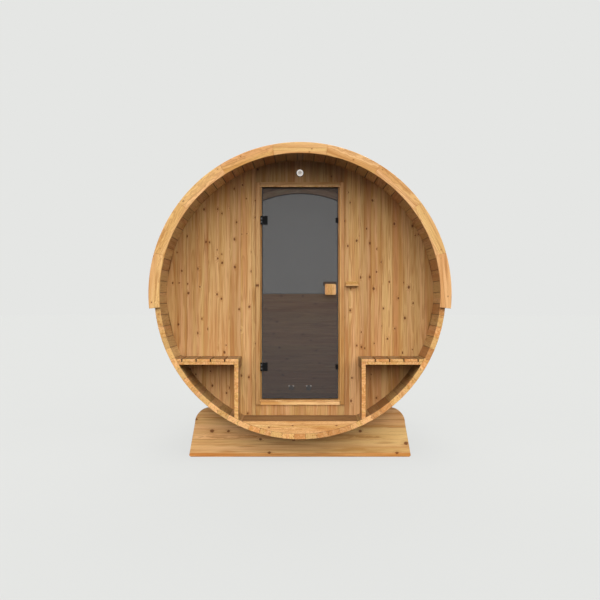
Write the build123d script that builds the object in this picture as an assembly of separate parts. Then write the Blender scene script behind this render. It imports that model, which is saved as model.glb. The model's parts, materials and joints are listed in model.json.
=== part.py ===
from build123d import *
import math
import os

# Outdoor barrel cabin with an open porch, a glass door and a half-moon rear window.
# Millimetres, +Z up, front towards -Y. The ground is z = 0 and the barrel's middle is over the origin.

# Barrel
barrelInnerRadius = 995.0
staveThickness = 38.0
staveLength = 1900.0
fullStaveCount = 77
keyStaveAngle = 2.4
staveGap = 0.3
tongueWidth = 14.0
tongueDepth = 7.0
tongueClearance = 0.5
barrelLift = 167.0

# End walls, seated in grooves across the staves
wallThickness = 38.0
crozeDepth = 10.0
crozeClearance = 0.5
porchDepth = 325.0
rearOverhang = 59.0

# Door frame
glassWidth = 568.0
glassRise = 125.0
frameHeadroom = 162.0
glassThickness = 8.0
revealWidth = 12.0
frameWidth = 35.0
frameProud = 12.0
frameFit = 0.3
stopOverlap = 2.0
stopGap = 5.0
glassSetBack = 5.0
strikeBevel = 8.0

# Door hinges
hingeFromEnd = 236.5
hingeLength = 63.0
clampWidth = 35.0
clampThickness = 4.0
clampInset = 7.0
knuckleRadius = 6.0
knuckleGap = 0.5
pinRadius = 2.5
pinClearance = 0.3
hingeStandOff = 10.0
hingeClearance = 1.0
leafThickness = 2.0
leafGap = 3.0

# Small rounds are drawn with flats
smallRoundSides = 8
roundSides = 24

# Door furniture
outerHandleSize = 81.5
outerHandleDepth = 50.0
outerHandleCorner = 10.0
outerHandleFromEdge = 58.0
handleHeight = 938.0
innerHandleWidth = 101.0
innerHandleHeight = 33.0
innerHandleDepth = 34.0
innerHandleFromEdge = 10.0
innerHandleOver = 43.0
latchWidth = 21.0
latchHeight = 38.0
latchLip = 2.0
latchThickness = 3.0

# Rear half-moon window
windowRim = 60.5
windowRise = 10.0
paneThickness = 8.0
paneClearance = 0.5
archCount = 6

# Fascia rings on the stave ends
fasciaThickness = 27.0
fasciaLip = 2.0
fasciaCover = 4.85
fasciaHalfAngle = 95.7
fasciaCount = 9

# Ventilated roof skin
ribThickness = 11.0
ribWidth = 45.0
ribCount = 3
ribEndInset = 5.0
roofBoardThickness = 20.0
roofBoardCount = 41
roofInset = 0.5
layerGap = 0.3

# Steel hoops
hoopWidth = 30.0
hoopThickness = 1.5
hoopSplitStave = 23
hoopGap = 34.0
lugHeight = 22.0
lugThickness = 5.0

# Floors
floorHeight = 90.0
floorThickness = 27.0
porchBoardCount = 3
floorBoardGap = 4.0
floorEndGap = 0.4
kickThickness = 27.0
bearerWidth = 45.0
porchBearerX = 210.0
roomBearerX = 260.0

# Porch benches
benchHeight = 440.5
benchInner = 436.0
slatThickness = 20.0
slatWidth = 93.5
slatGap = 8.0
slatLeast = 12.0
benchFrontInset = 2.0
frontRailHeight = 20.0
frontRailDepth = 45.0
sideRailWidth = 30.0
sideRailHeight = 50.0
postDepth = 95.0
benchJoint = 0.3

# Cradles
cradleThickness = 45.0
cradleInset = 230.0
cradleTop = 361.0
cradleBottomHalf = 816.0
cradleShoulderHalf = 773.0
cradleCornerRadius = 110.0
cradleClip = 10.0

# Small porch fittings
lightRadius = 28.5
lightHeight = 26.0
lensRadius = 15.0
lensHeight = 6.0
lightChamfer = 7.0
lightOverFrame = 70.0
pegWidth = 93.0
pegHeight = 35.0
pegLip = 13.0
pegDepth = 35.0
pegFromFrame = 10.5
pegRise = 963.0
ventRadius = 27.5
ventDepth = 12.0
ventX = 81.0
ventRise = 52.0

# Places that follow from the sizes above
staveOuterRadius = barrelInnerRadius + staveThickness
axisHeight = barrelLift + staveOuterRadius
stavePitch = (360.0 - keyStaveAngle) / fullStaveCount
halfPitch = math.radians(stavePitch / 2)
roundOuterRadius = staveOuterRadius / math.cos(halfPitch)
front = -staveLength / 2
back = staveLength / 2
wallFront = front + porchDepth
wallBack = wallFront + wallThickness
rearBack = back - rearOverhang
rearFront = rearBack - wallThickness
wallRadius = barrelInnerRadius + crozeDepth - crozeClearance
windowRadius = wallRadius - windowRim
windowBottom = axisHeight + windowRise
barrelBottom = axisHeight - barrelInnerRadius
floorTop = barrelBottom + floorHeight
floorBottom = floorTop - floorThickness
jambHalf = glassWidth / 2 + revealWidth
frameHalf = jambHalf + frameWidth
glassBottom = floorTop + glassRise
frameBottom = glassBottom - revealWidth - frameWidth
frameTop = axisHeight + barrelInnerRadius - frameHeadroom
glassTop = frameTop - frameWidth - revealWidth
frameFront = wallFront - frameProud
glassFront = frameFront + glassSetBack
glassBack = glassFront + glassThickness
stopFront = glassBack + stopGap
hingeX = -jambHalf + leafThickness + hingeClearance + knuckleRadius
hingeY = glassFront - hingeStandOff
hingeHeights = (glassBottom + hingeFromEnd, glassTop - hingeFromEnd)
benchTop = floorTop + benchHeight
ribInner = roundOuterRadius + layerGap
roofInner = ribInner + ribThickness
roofOuter = roofInner + roofBoardThickness
roofPitch = 2 * (fasciaHalfAngle - roofInset) / roofBoardCount
ribOuter = (roofInner - layerGap) / math.cos(math.radians(roofPitch / 2))
fasciaOuterRadius = roofOuter + fasciaCover
barrelAxis = Axis((0, 0, axisHeight), (0, 1, 0))

os.makedirs("parts", exist_ok=True)


def save(name, pieces):
    """Writes one node from one shape or a list of separate solids."""
    shape = pieces if not isinstance(pieces, list) else Compound(children=pieces)
    export_step(shape, f"parts/{name}.step")


def block(x0, x1, y0, y1, z0, z1):
    size = Box(x1 - x0, y1 - y0, z1 - z0)
    return Pos((x0 + x1) / 2, (y0 + y1) / 2, (z0 + z1) / 2) * size


def alongY(face2d, y0, y1):
    """Extrudes a sketch drawn in x and z from y0 to y1."""
    plane = Plane(origin=(0, y0, 0), x_dir=(1, 0, 0), z_dir=(0, -1, 0))
    return extrude(plane * face2d, amount=-(y1 - y0))


def discAlongY(radius, y0, y1, z=None, x=0.0):
    height = axisHeight if z is None else z
    return alongY(Pos(x, height) * Circle(radius), y0, y1)


def aboutAxis(shape, angle):
    """Turns a shape clockwise, seen from the front, from the crown of the barrel."""
    return shape.rotate(barrelAxis, angle)


def flankPoint(radius, half, side, out=0.0):
    """A point on a stave's flank: the flank is radial, and out moves it square to itself."""
    across = radius * math.tan(half) - staveGap / 2 + out
    return (side * across, radius)


def staveProfile(angle):
    """A stave with radial flanks, a V tongue on its +x flank and a matching groove on its -x flank."""
    half = math.radians(angle / 2)
    middle = barrelInnerRadius + staveThickness / 2
    low = middle - tongueWidth / 2
    high = middle + tongueWidth / 2
    fit = tongueClearance
    points = [
        flankPoint(barrelInnerRadius, half, 1),
        flankPoint(low + fit, half, 1),
        flankPoint(middle, half, 1, tongueDepth),
        flankPoint(high - fit, half, 1),
        flankPoint(staveOuterRadius, half, 1),
        flankPoint(staveOuterRadius, half, -1),
        flankPoint(high, half, -1),
        flankPoint(middle, half, -1, -tongueDepth - staveGap - fit),
        flankPoint(low, half, -1),
        flankPoint(barrelInnerRadius, half, -1),
    ]
    return Pos(0, axisHeight) * make_face(Polyline(*points, close=True))


def stave(angle):
    """One stave at the crown, with the two grooves that hold the end walls."""
    body = alongY(staveProfile(angle), front, back)
    reach = staveThickness * 4
    groove = axisHeight + barrelInnerRadius + crozeDepth
    low = axisHeight + barrelInnerRadius - 1
    body -= block(-reach, reach, wallFront - staveGap, wallBack + staveGap, low, groove)
    body -= block(-reach, reach, rearFront - staveGap, rearBack + staveGap, low, groove)
    return body


def staves():
    """Sorts the ring of staves into bottom, left, right and top."""
    full = stave(stavePitch)
    groups = {"bottom_staves": [], "left_staves": [], "right_staves": [], "top_staves": []}
    groups["top_staves"].append(stave(keyStaveAngle))
    for number in range(fullStaveCount):
        angle = keyStaveAngle / 2 + stavePitch * (number + 0.5)
        turned = aboutAxis(full, angle)
        if angle < 45 or angle > 315:
            groups["top_staves"].append(turned)
        elif angle < 135:
            groups["right_staves"].append(turned)
        elif angle < 225:
            groups["bottom_staves"].append(turned)
        else:
            groups["left_staves"].append(turned)
    return groups


def arcSegment(profile, start, end, gap, radius):
    """Revolves a profile drawn in radius and y from one angle to another, less half a joint at each end."""
    trim = math.degrees(gap / 2 / radius)
    plane = Plane(origin=(0, 0, axisHeight), x_dir=(0, 0, 1), z_dir=(-1, 0, 0))
    axis = Axis((0, 0, axisHeight), (0, 1, 0))
    turned = revolve(plane * profile, axis, end - start - 2 * trim)
    return turned.rotate(axis, start + trim)


def ringProfile(inner, outer, y0, y1):
    """Corner points of a plain ring section in radius and y."""
    return make_face(Polyline((inner, y0), (outer, y0), (outer, y1), (inner, y1), close=True))


def fascia(atFront):
    """Nine segments across the stave ends, reaching from inside the staves to over the roof boards."""
    seat = front if atFront else back
    face = seat - fasciaThickness if atFront else seat + fasciaThickness
    section = ringProfile(barrelInnerRadius - fasciaLip, fasciaOuterRadius, seat, face)
    step = 2 * fasciaHalfAngle / fasciaCount
    pieces = []
    for number in range(fasciaCount):
        start = -fasciaHalfAngle + number * step
        pieces.append(arcSegment(section, start, start + step, staveGap, fasciaOuterRadius))
    return pieces


def polar(radius, angle):
    """A point in x and z from the barrel's axis, clockwise from the crown as seen from the front."""
    turn = math.radians(angle)
    return (radius * math.sin(turn), axisHeight + radius * math.cos(turn))


def staveJoints():
    """Angles of the joints between staves, clockwise from the crown."""
    return [keyStaveAngle / 2 + stavePitch * number for number in range(fullStaveCount + 1)]


def roofRibs():
    """Laths bent over the staves, flat from joint to joint, that hold the roof boards off them."""
    end = fasciaHalfAngle - roofInset
    right = [angle for angle in staveJoints() if angle < end]
    under = [-end] + [-angle for angle in reversed(right)] + right + [end]
    over = [(number - roofBoardCount / 2) * roofPitch for number in range(roofBoardCount + 1)]
    inner = [polar(ribInner, angle) for angle in under]
    outer = [polar(ribOuter, angle) for angle in reversed(over)]
    outline = make_face(Polyline(*inner, *outer, close=True))
    spacing = (staveLength - 2 * ribEndInset - ribWidth) / (ribCount - 1)
    starts = [front + ribEndInset + row * spacing for row in range(ribCount)]
    return [alongY(outline, y0, y0 + ribWidth) for y0 in starts]


def roofBoards():
    """Flat boards along the roof, with radial flanks."""
    half = math.radians(roofPitch / 2)
    points = [
        flankPoint(roofInner, half, -1),
        flankPoint(roofInner, half, 1),
        flankPoint(roofOuter, half, 1),
        flankPoint(roofOuter, half, -1),
    ]
    board = alongY(Pos(0, axisHeight) * make_face(Polyline(*points, close=True)), front, back)
    first = -(roofBoardCount - 1) / 2
    return [aboutAxis(board, (first + number) * roofPitch) for number in range(roofBoardCount)]


def hoop(middle):
    """A steel strap, straight from joint to joint, split below the roof's edge between two lugs."""
    inner = staveOuterRadius + layerGap
    outer = inner + hoopThickness
    y0 = middle - hoopWidth / 2
    y1 = middle + hoopWidth / 2
    corner = math.cos(halfPitch)
    rings = [[polar(radius / corner, angle) for angle in staveJoints()] for radius in (outer, inner)]
    band = make_face(Polyline(*rings[0], close=True)) - make_face(Polyline(*rings[1], close=True))
    band = alongY(band, y0, y1)
    split = keyStaveAngle / 2 + stavePitch * (hoopSplitStave + 0.5)
    top = axisHeight + outer + lugHeight
    low = axisHeight + inner + hoopThickness / 2
    half = hoopGap / 2
    band -= aboutAxis(block(-half, half, y0 - 1, y1 + 1, axisHeight + barrelInnerRadius, top), split)
    for x0 in (-half - lugThickness, half):
        band += aboutAxis(block(x0, x0 + lugThickness, y0, y1, low, top), split)
    return band


def frontWall():
    """The round front wall, split beside, over and under the door frame."""
    disc = discAlongY(wallRadius, wallFront, wallBack)
    edge = frameHalf + frameFit
    far = 2 * wallRadius
    low = axisHeight - far
    high = axisHeight + far
    inner = edge - frameFit
    wide = block(-far, far, wallFront, wallBack, low, high)
    left = disc & block(-far, -edge, wallFront, wallBack, low, high)
    right = disc & block(edge, far, wallFront, wallBack, low, high)
    column = wide & block(-inner, inner, wallFront, wallBack, low, high)
    head = disc & column & block(-far, far, wallFront, wallBack, frameTop + frameFit, high)
    sill = disc & column & block(-far, far, wallFront, wallBack, low, frameBottom - frameFit)
    save("front_wall_left", left)
    save("front_wall_right", right)
    save("front_wall_head", head)
    save("front_wall_sill", sill)


def frameSection(outer, stop):
    """Rebated section, drawn across the opening and in y: outer edge, front strip, then the stop."""
    strip = outer - frameWidth
    bevel = strikeBevel / 2
    return [
        (outer, frameFront),
        (strip + bevel, frameFront),
        (strip, frameFront + bevel),
        (strip, stopFront),
        (stop, stopFront),
        (stop, wallBack),
        (outer, wallBack),
    ]


def doorFrame():
    """Two full-height stiles, a head and a threshold, each with its stop."""
    stopX = glassWidth / 2 - stopOverlap
    stile = make_face(Polyline(*frameSection(frameHalf, stopX), close=True))
    right = extrude(Pos(0, 0, frameBottom) * stile, amount=frameTop - frameBottom)
    save("door_stile_right", right)
    save("door_stile_left", mirror(right, about=Plane.YZ))
    reach = jambHalf - frameFit
    stopReach = stopX - frameFit
    middle = (glassBottom + glassTop) / 2
    half = (glassTop - glassBottom) / 2
    rail = make_face(
        Polyline(*frameSection(half + revealWidth + frameWidth, half - stopOverlap), close=True)
    )
    upright = Plane(origin=(0, 0, middle), x_dir=(0, 0, 1), z_dir=(-1, 0, 0))
    head = extrude(upright * rail, amount=reach, both=True)
    far = 2 * reach
    for x0, x1 in ((-far, -stopReach), (stopReach, far)):
        head -= block(x0, x1, stopFront - frameFit, wallBack + 1, 0, 2 * frameTop)
    save("door_head", head)
    save("door_threshold", mirror(head, about=Plane(origin=(0, 0, middle), z_dir=(0, 0, 1))))


def hingeRound(radius, z0, z1):
    """A small upright round on the hinge's axis, drawn with flats."""
    section = Pos(hingeX, hingeY, z0) * RegularPolygon(radius, smallRoundSides)
    return extrude(section, amount=z1 - z0)


def hinges():
    """Clamp hinges: frame leaves with three knuckles, door clamps with two, and a pin in each."""
    jamb = -jambHalf
    share = (hingeLength - 4 * knuckleGap) / 5
    leaves = []
    clamps = []
    edge = -glassWidth / 2 + clampInset
    for height in hingeHeights:
        bottom = height - hingeLength / 2
        top = bottom + hingeLength
        plateFront = glassFront - clampThickness
        armFront = plateFront - clampThickness / 2
        leaf = block(jamb, jamb + leafThickness, hingeY, stopFront - leafGap, bottom, top)
        plate = block(edge, edge + clampWidth, plateFront, glassFront, bottom, top)
        for number in range(5):
            z0 = bottom + number * (share + knuckleGap)
            z1 = z0 + share
            knuckle = hingeRound(knuckleRadius, z0, z1)
            if number % 2 == 0:
                leaf += block(jamb, hingeX, hingeY, hingeY + leafThickness * 1.5, z0, z1) + knuckle
            else:
                arm = block(hingeX, edge, armFront, armFront + clampThickness, z0, z1)
                foot = block(edge, edge + clampInset, armFront, plateFront, z0, z1)
                plate = plate + arm + foot + knuckle
        bore = hingeRound(pinRadius + pinClearance, bottom - 1, top + 1)
        leaves.append(leaf - bore)
        clamps.append(plate - bore)
        leaves.append(hingeRound(pinRadius, bottom, top))
        clamps.append(block(edge, edge + clampWidth, glassBack, glassBack + clampThickness, bottom, top))
    save("hinge_frame_leaves", leaves)
    save("door_hinge_clamps", clamps)


def doorLeaf():
    """The glass sheet and everything that turns with it, apart from the hinge clamps."""
    half = glassWidth / 2
    save("door_glass", block(-half, half, glassFront, glassBack, glassBottom, glassTop))
    plates = []
    x1 = half + latchLip
    y0 = glassFront - latchThickness
    for height in hingeHeights:
        z0 = height - latchHeight / 2
        z1 = height + latchHeight / 2
        plate = block(x1 - latchWidth, x1, y0, glassFront, z0, z1)
        plates.append(plate + block(half, x1, y0, glassBack, z0, z1))
    save("door_latch_plates", plates)
    knobZ = floorTop + handleHeight
    knobPlace = Pos(half - outerHandleFromEdge, knobZ)
    outline = RectangleRounded(outerHandleSize, outerHandleSize, outerHandleCorner)
    save("outer_handle", alongY(knobPlace * outline, glassFront - outerHandleDepth, glassFront))
    barX = half - innerHandleFromEdge - innerHandleWidth / 2
    barPlace = Pos(barX, knobZ + innerHandleOver)
    bar = RectangleRounded(innerHandleWidth, innerHandleHeight, outerHandleCorner / 2)
    save("inner_handle", alongY(barPlace * bar, glassBack, glassBack + innerHandleDepth))


def rearWall():
    """Solid lower half, a curved rim above it in segments, and the pane held by the rim."""
    far = 2 * wallRadius
    top = axisHeight + far
    paneFront = (rearFront + rearBack - paneThickness) / 2
    paneBack = paneFront + paneThickness
    disc = discAlongY(wallRadius, rearFront, rearBack)
    save("back_wall_lower", disc & block(-far, far, rearFront, rearBack, axisHeight - far, windowBottom))
    section = ringProfile(windowRadius, wallRadius, rearFront, rearBack)
    above = block(-far, far, rearFront, rearBack, windowBottom + staveGap, top)
    step = 180.0 / archCount
    pieces = []
    for number in range(archCount):
        start = -90 + number * step
        pieces.append(arcSegment(section, start, start + step, staveGap, wallRadius) & above)
    save("back_window_arch", pieces)
    pane = discAlongY(windowRadius - paneClearance, paneFront, paneBack)
    low = windowBottom + paneClearance
    save("back_window_glass", pane & block(-far, far, paneFront, paneBack, low, top))


def bearer(middle, y0, y1):
    """A floor bearer on edge, scribed to the staves."""
    bar = block(middle - bearerWidth / 2, middle + bearerWidth / 2, y0, y1, barrelBottom, floorBottom)
    return bar & discAlongY(barrelInnerRadius - floorEndGap, y0, y1)


def floors():
    """Porch boards, the room's floor, the bearers under both and the kick board at the front."""
    reach = barrelInnerRadius
    inside = discAlongY(reach - floorEndGap, front, back)
    postBack = front + benchFrontInset + postDepth + benchJoint
    postSide = benchInner - benchJoint
    for x0, x1 in ((-reach, -postSide), (postSide, reach)):
        inside -= block(x0, x1, front, postBack, 0, floorTop)
    width = (porchDepth - floorBoardGap * porchBoardCount) / porchBoardCount
    boards = []
    for number in range(porchBoardCount):
        y0 = front + number * (width + floorBoardGap)
        boards.append(inside & block(-reach, reach, y0, y0 + width, floorBottom, floorTop))
    save("porch_floor", boards)
    save("kick_board", inside & block(-reach, reach, front, front + kickThickness, 0, floorBottom))
    porchStart = front + kickThickness + staveGap
    porchEnd = wallFront - staveGap
    save("porch_bearers", [bearer(side * porchBearerX, porchStart, porchEnd) for side in (-1, 1)])
    roomStart = wallBack + staveGap
    roomEnd = rearFront - staveGap
    save("room_floor", inside & block(-reach, reach, roomStart, roomEnd, floorBottom, floorTop))
    save("room_bearers", [bearer(side * roomBearerX, roomStart, roomEnd) for side in (-1, 0, 1)])


def benches():
    """A slatted seat on each side of the porch, scribed to the staves, on rails and one post."""
    far = barrelInnerRadius
    inside = discAlongY(far - benchJoint, front, back)
    y0 = front + benchFrontInset
    y1 = wallFront
    slatBottom = benchTop - slatThickness
    wide = math.sqrt(far**2 - (axisHeight - slatBottom) ** 2) - slatLeast
    slats = []
    x0 = benchInner
    while x0 < wide:
        x1 = x0 + slatWidth
        if x1 + slatGap >= wide:
            x1 = far
        slats.append(inside & block(x0, x1, y0, y1, slatBottom, benchTop))
        x0 = x1 + slatGap
    railX = benchInner + sideRailWidth
    sideBottom = slatBottom - sideRailHeight
    frontBottom = slatBottom - frontRailHeight
    frame = [
        block(benchInner, railX, y0, y1, sideBottom, slatBottom),
        inside & block(railX + benchJoint, far, y0, y0 + frontRailDepth, frontBottom, slatBottom),
        inside & block(railX + benchJoint, far, y1 - frontRailDepth, y1, frontBottom, slatBottom),
        inside & block(benchInner, railX, y0, y0 + postDepth, 0, sideBottom - benchJoint),
    ]
    save("right_bench_slats", slats)
    save("right_bench_frame", frame)
    save("left_bench_slats", [mirror(piece, about=Plane.YZ) for piece in slats])
    save("left_bench_frame", [mirror(piece, about=Plane.YZ) for piece in frame])


def cradleOutline():
    """Front outline of one cradle before the saddle is cut: raked ends and round top corners."""
    half = cradleBottomHalf
    shoulder = cradleShoulderHalf
    radius = cradleCornerRadius
    shoulderZ = cradleTop - radius
    right = Polyline((0, 0), (half - cradleClip, 0), (half, cradleClip), (shoulder, shoulderZ))
    corner = CenterArc((shoulder - radius, shoulderZ), radius, 0, 90)
    top = Line((shoulder - radius, cradleTop), (0, cradleTop))
    edges = [*right.edges(), corner, top]
    return make_face(edges + [mirror(edge, about=Plane.YZ) for edge in edges])


def cradles():
    """Two boards on edge, each with a round saddle that the barrel lies in."""
    y0 = front + cradleInset
    y1 = y0 + cradleThickness
    board = alongY(cradleOutline(), y0, y1) - discAlongY(roundOuterRadius + layerGap, y0 - 1, y1 + 1)
    save("front_cradle", board)
    save("rear_cradle", mirror(board, about=Plane.XZ))


def smallRound(radius, y0, y1, x, z):
    """A small round lying along Y, drawn with flats."""
    return alongY(Pos(x, z) * RegularPolygon(radius, roundSides), y0, y1)


def porchLight():
    """Round lamp over the door: a white housing with a sloped rim, and its lens."""
    nose = wallFront - lightHeight
    lightZ = frameTop + lightOverFrame
    shell = smallRound(lightRadius, nose, wallFront, 0, lightZ)
    shell = chamfer(shell.faces().sort_by(Axis.Y)[0].edges(), lightChamfer)
    shell -= smallRound(lensRadius, nose, nose + lensHeight, 0, lightZ)
    save("porch_light_housing", shell)
    lens = smallRound(lensRadius - layerGap, nose + layerGap, nose + lensHeight, 0, lightZ)
    save("porch_light_lens", lens)


def wallPeg():
    """A wedge of wood on the wall beside the door, deepest at its lip."""
    pegBottom = floorTop + pegRise
    top = pegBottom + pegHeight
    side = make_face(
        Polyline(
            (wallFront, pegBottom),
            (wallFront - pegDepth, pegBottom),
            (wallFront - pegDepth, pegBottom + pegLip),
            (wallFront - pegDepth / 4, top),
            (wallFront, top),
            close=True,
        )
    )
    plane = Plane(origin=(frameHalf + pegFromFrame, 0, 0), x_dir=(0, 1, 0), z_dir=(1, 0, 0))
    save("wall_peg", extrude(plane * side, amount=pegWidth))


def lowVents():
    """Two round caps low on the inside of the rear wall."""
    face = rearFront - ventDepth
    height = floorTop + ventRise
    save("low_vents", [smallRound(ventRadius, face, rearFront, x, height) for x in (-ventX, ventX)])


for groupName, group in staves().items():
    save(groupName, group)
save("front_fascia", fascia(True))
save("rear_fascia", fascia(False))
save("roof_ribs", roofRibs())
save("roof_boards", roofBoards())
save("front_hoop", hoop((wallFront + wallBack) / 2))
save("rear_hoop", hoop((rearFront + rearBack) / 2))
frontWall()
doorFrame()
hinges()
doorLeaf()
rearWall()
floors()
benches()
cradles()
porchLight()
wallPeg()
lowVents()
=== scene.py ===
import json
import math
import random
import bmesh
import bpy
from mathutils import Matrix, Vector


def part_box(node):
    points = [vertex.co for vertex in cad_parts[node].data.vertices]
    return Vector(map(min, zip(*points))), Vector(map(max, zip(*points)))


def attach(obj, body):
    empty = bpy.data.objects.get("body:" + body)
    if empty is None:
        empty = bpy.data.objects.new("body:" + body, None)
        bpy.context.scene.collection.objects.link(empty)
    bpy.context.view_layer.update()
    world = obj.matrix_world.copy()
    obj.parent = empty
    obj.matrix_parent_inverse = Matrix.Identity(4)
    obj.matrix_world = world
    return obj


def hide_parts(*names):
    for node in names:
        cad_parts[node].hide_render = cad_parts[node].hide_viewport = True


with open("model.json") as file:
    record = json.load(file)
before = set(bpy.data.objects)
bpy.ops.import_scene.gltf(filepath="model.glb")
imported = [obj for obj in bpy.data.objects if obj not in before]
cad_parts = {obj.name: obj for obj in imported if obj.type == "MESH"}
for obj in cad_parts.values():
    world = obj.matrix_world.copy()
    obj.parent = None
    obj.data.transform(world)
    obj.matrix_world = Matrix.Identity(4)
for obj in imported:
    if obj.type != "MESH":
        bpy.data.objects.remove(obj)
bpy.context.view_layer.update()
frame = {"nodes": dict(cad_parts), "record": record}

# The barrel's own measures, read from the frame
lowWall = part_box("back_wall_lower")
wallRadius = (lowWall[1].x - lowWall[0].x) / 2
axisHeight = lowWall[0].z + wallRadius
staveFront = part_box("top_staves")[0].y
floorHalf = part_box("porch_floor")[1].x
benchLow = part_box("left_bench_slats")[0].z
print("frame loaded: end wall radius", round(wallRadius, 3), "axis", round(axisHeight, 3))


def fill(socket, value):  # a colour gets its alpha here
    socket.default_value = (*value, 1.0) if socket.type == "RGBA" else value


class NodeMaker:
    # Adds nodes to one tree, and links or fills the inputs of each
    def __init__(self, tree):
        self.tree = tree

    def put(self, kind, inputs=None, **settings):
        made = self.tree.nodes.new(kind)
        for key, value in settings.items():
            setattr(made, key, value)
        for key, value in (inputs or {}).items():
            if isinstance(value, bpy.types.NodeSocket):
                self.tree.links.new(value, made.inputs[key])
            else:
                fill(made.inputs[key], value)
        return made

    def calc(self, operation, *values):
        return self.put("ShaderNodeMath", dict(enumerate(values)), operation=operation).outputs[0]

    def plus(self, first, second):
        return self.calc("ADD", first, second)

    def minus(self, first, second):
        return self.calc("SUBTRACT", first, second)

    def times(self, first, second):
        return self.calc("MULTIPLY", first, second)

    def timesPlus(self, value, factor, added):
        return self.calc("MULTIPLY_ADD", value, factor, added)

    def length(self, x, y):
        return self.calc("SQRT", self.plus(self.times(x, x), self.times(y, y)))

    def vectorCalc(self, operation, first, second):
        return self.put("ShaderNodeVectorMath", {0: first, 1: second}, operation=operation).outputs[0]

    def scaled(self, vector, factor):
        return self.put("ShaderNodeVectorMath", {0: vector, "Scale": factor}, operation="SCALE").outputs[0]

    def joined(self, x, y, z):
        return self.put("ShaderNodeCombineXYZ", {0: x, 1: y, 2: z}).outputs[0]

    def parts(self, vector):
        return self.put("ShaderNodeSeparateXYZ", {0: vector}).outputs

    def attribute(self, name, output="Fac"):
        return self.put("ShaderNodeAttribute", attribute_name=name).outputs[output]

    def place(self):
        return self.put("ShaderNodeTexCoord").outputs["Object"]

    def ramp(self, value, start, end):  # from 0 at the start to 1 at the end
        inputs = {"Value": value, "From Min": start, "From Max": end}
        return self.put("ShaderNodeMapRange", inputs, interpolation_type="SMOOTHSTEP").outputs[0]

    def noise(self, vector, detail=2.0, scale=1.0):
        inputs = {"Vector": vector, "Scale": scale, "Detail": detail}
        return self.put("ShaderNodeTexNoise", inputs).outputs["Fac"]

    def stretched(self, vector, often, detail=2.0):  # noise with its own scale on each axis
        return self.noise(self.vectorCalc("MULTIPLY", vector, often), detail)

    def blend(self, share, first, second, way="MIX"):
        inputs = {0: share, 6: first, 7: second}
        return self.put("ShaderNodeMix", inputs, data_type="RGBA", blend_type=way).outputs[2]

    def geo(self, kind, inputs=None, **settings):
        return self.put("GeometryNode" + kind, inputs, **settings).outputs[0]

    def choose(self, test, no, yes):
        return self.geo("Switch", {"Switch": test, "False": no, "True": yes}, input_type="FLOAT")

    def named(self, name, kind="FLOAT_VECTOR"):
        return self.geo("InputNamedAttribute", {"Name": name}, data_type=kind)

    def store(self, geometry, name, value, kind="FLOAT_VECTOR", domain="POINT"):
        inputs = {"Geometry": geometry, "Name": name, "Value": value}
        return self.geo("StoreNamedAttribute", inputs, data_type=kind, domain=domain)


def groupSockets(tree, kinds, direction="INPUT"):
    for socketName, kind in kinds.items():
        tree.interface.new_socket(name=socketName, in_out=direction, socket_type="NodeSocket" + kind)


# Sawn and planed spruce, drawn in the board's own frame: x across, y into the face, z with the grain
grainLook = {
    "cell": (0.080, 0.235),  # width and length of the cells that hold at most one knot each
    "knotLength": 0.75, "knotRagged": 0.0075,
    # where each part of a knot starts and is full, in shares of its radius
    "knot": (1.0, 0.55), "core": (0.72, 0.3), "halo": (2.8, 0.8),
    # the least of each, and the most that chance adds
    "knotRadius": (0.0050, 0.0062), "ringPitch": (0.0034, 0.0026),
    "pithAcross": (-0.08, 0.16), "pithBehind": (0.03, 0.09),
    # how far each thing pushes the rings aside
    "wander": 0.034, "ripple": 0.0022, "roundKnots": 0.006, "curl": 0.016,
    "late": ((0.35, 0.9), (0.99, 0.92)),  # where in a ring the late wood comes and goes
    # streaks per metre across and along; the hues go across by the band
    "years": (74.0, 1.1), "bands": (58.0, 2.2), "bandWander": 0.022, "hues": (0.55, 0.4),
    # where in its noise each kind of streak starts and is full
    "streak": (0.36, 0.64), "resin": (0.56, 0.70), "flame": (0.57, 0.68), "patch": (0.38, 0.62),
    "hue": (0.35, 0.65),
    # how much each thing warms the wood, and darkens it to the late colour
    "streakWarms": 0.80, "resinWarms": 0.62, "cutWarms": 0.85, "usualWarmth": -0.04,
    "lateDarkens": 0.42, "flameDarkens": 0.55, "haloDarkens": 0.2,
    "green": (0.97, 1.01, 0.92), "pink": (1.03, 0.985, 1.07),
    # the seams, and the painted shade held in the same value, are warmed and darkened by these
    "cutTint": (1.0, 0.955, 0.86), "seamAndShadeTint": (1.0, 0.90, 0.74),
    "boardContrast": 0.22, "fibreContrast": 0.16, "seamAndShadeDarkens": 0.68,
    "relief": {"late": 0.35, "fibre": 0.5, "knot": -0.3}, "roughness": (0.5, 0.16, -0.12),
}
grainNoises = {  # changes per metre across, into the face and along, and the detail
    "ragged": (130, 130, 90, 2), "wander": (5.5, 5.5, 1.5, 2), "ripple": (45, 45, 4, 2),
    "curl": (95, 95, 38, 3), "flame": (165, 165, 5.5, 1), "patch": (105, 45, 70, 3),
    "fibre": (820, 820, 26, 2),
}
spruceColours = {
    "pale": (0.82, 0.50, 0.220),
    "warm": (0.60, 0.29, 0.092),
    "late": (0.42, 0.165, 0.043),
    "knot": (0.140, 0.040, 0.011),
}
usualGrain = {
    # sides: how much darker the long faces are drawn than the cut ends, a painted shade
    "knots": 0.65, "spread": 0.7, "curl": 0.0, "sides": 1.0, "rings": 0.8, "knotSize": 1.0, "breadth": 1.0,
}


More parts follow.
